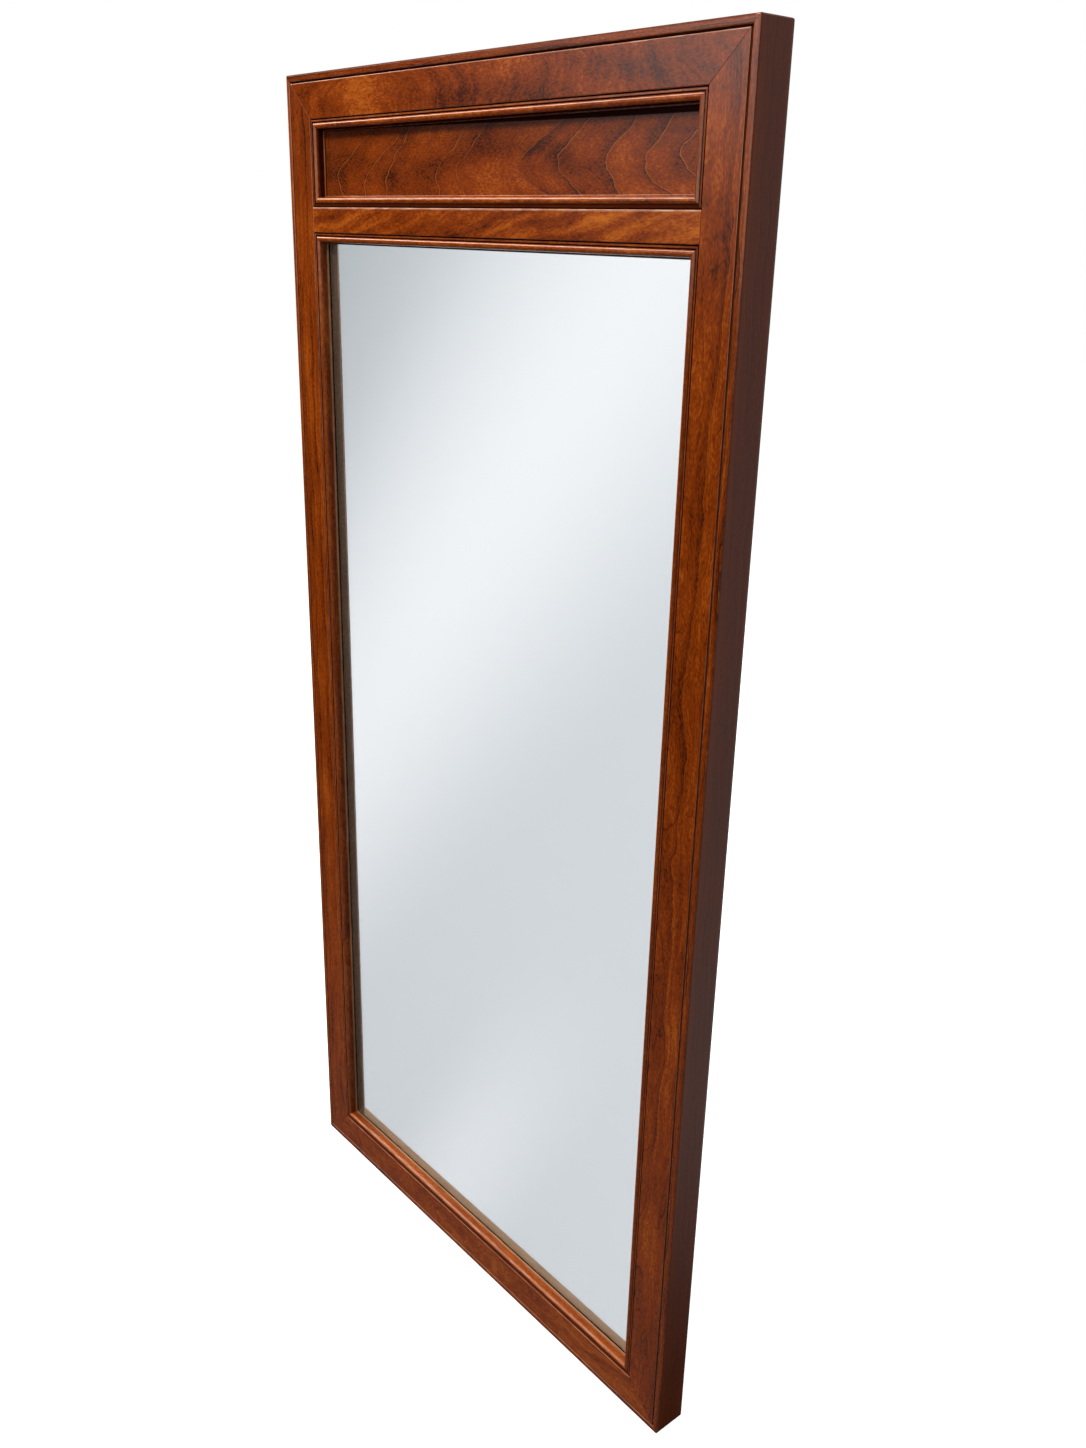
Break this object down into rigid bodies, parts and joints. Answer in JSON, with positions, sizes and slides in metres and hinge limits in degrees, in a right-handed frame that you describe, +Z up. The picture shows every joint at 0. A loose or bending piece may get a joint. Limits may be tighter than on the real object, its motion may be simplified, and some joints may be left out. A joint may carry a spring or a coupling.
{
  "type": "wall mirror",
  "caption": "Tall framed wall mirror: flat cherry face boards with beaded inner mouldings, a narrow veneered panel above the plate, a deep dark case and swinging hanging rings behind.",
  "frame": {"origin": "under the middle of the case, on its bottom edge, half way between its front and the wall", "axes": "+X to the viewer's right, +Y back to the wall, +Z up"},
  "size_m": [0.711, 0.045, 1.456],
  "materials": {
    "case_wood": "dark stained cherry, semi-gloss lacquer",
    "face_wood": "orange-brown cherry, semi-gloss lacquer",
    "bead_wood": "turned cherry beading, semi-gloss lacquer",
    "panel_veneer": "figured cherry veneer, semi-gloss lacquer",
    "inner_wood": "raw planed beech",
    "glass": "clear plate glass, polished",
    "silvering": "silver film with grey paint behind",
    "cork": "pressed cork",
    "felt": "grey wool felt",
    "hardboard": "brown hardboard, mesh side out",
    "zinc_screws": "zinc plated",
    "hanger_steel": "nickel plated steel"
  },
  "bodies": {
    "frame": {"left_side_board": "case_wood", "right_side_board": "case_wood", "top_side_board": "case_wood", "bottom_side_board": "case_wood", "left_stile": "face_wood", "right_stile": "face_wood", "top_rail": "face_wood", "bottom_rail": "face_wood", "middle_rail": "face_wood", "panel_bead_left": "bead_wood", "panel_bead_right": "bead_wood", "panel_bead_top": "bead_wood", "panel_bead_bottom": "bead_wood", "mirror_bead_left": "bead_wood", "mirror_bead_right": "bead_wood", "mirror_bead_top": "bead_wood", "mirror_bead_bottom": "bead_wood", "veneer_panel": "panel_veneer", "rail_dowels": "inner_wood", "mitre_splines": "inner_wood", "corner_blocks": "inner_wood", "mirror_glass": "glass", "mirror_silvering": "silvering", "cork_blocks": "cork", "felt_packers": "felt", "back_board": "hardboard", "back_screws": "zinc_screws", "left_strap": "hanger_steel", "right_strap": "hanger_steel", "strap_screws": "hanger_steel"},
    "left_hanging_ring": {"left_ring": "hanger_steel"},
    "right_hanging_ring": {"right_ring": "hanger_steel"}
  },
  "joints": [
    {"name": "left_ring_swing", "type": "hinge", "parent": "frame", "child": "left_hanging_ring", "pos_m": [-0.318, 0.00225, 1.2058], "axis": [1, 0, 0], "range_deg": [0, 180]},
    {"name": "right_ring_swing", "type": "hinge", "parent": "frame", "child": "right_hanging_ring", "pos_m": [0.318, 0.00225, 1.2058], "axis": [1, 0, 0], "range_deg": [0, 180]}
  ]
}
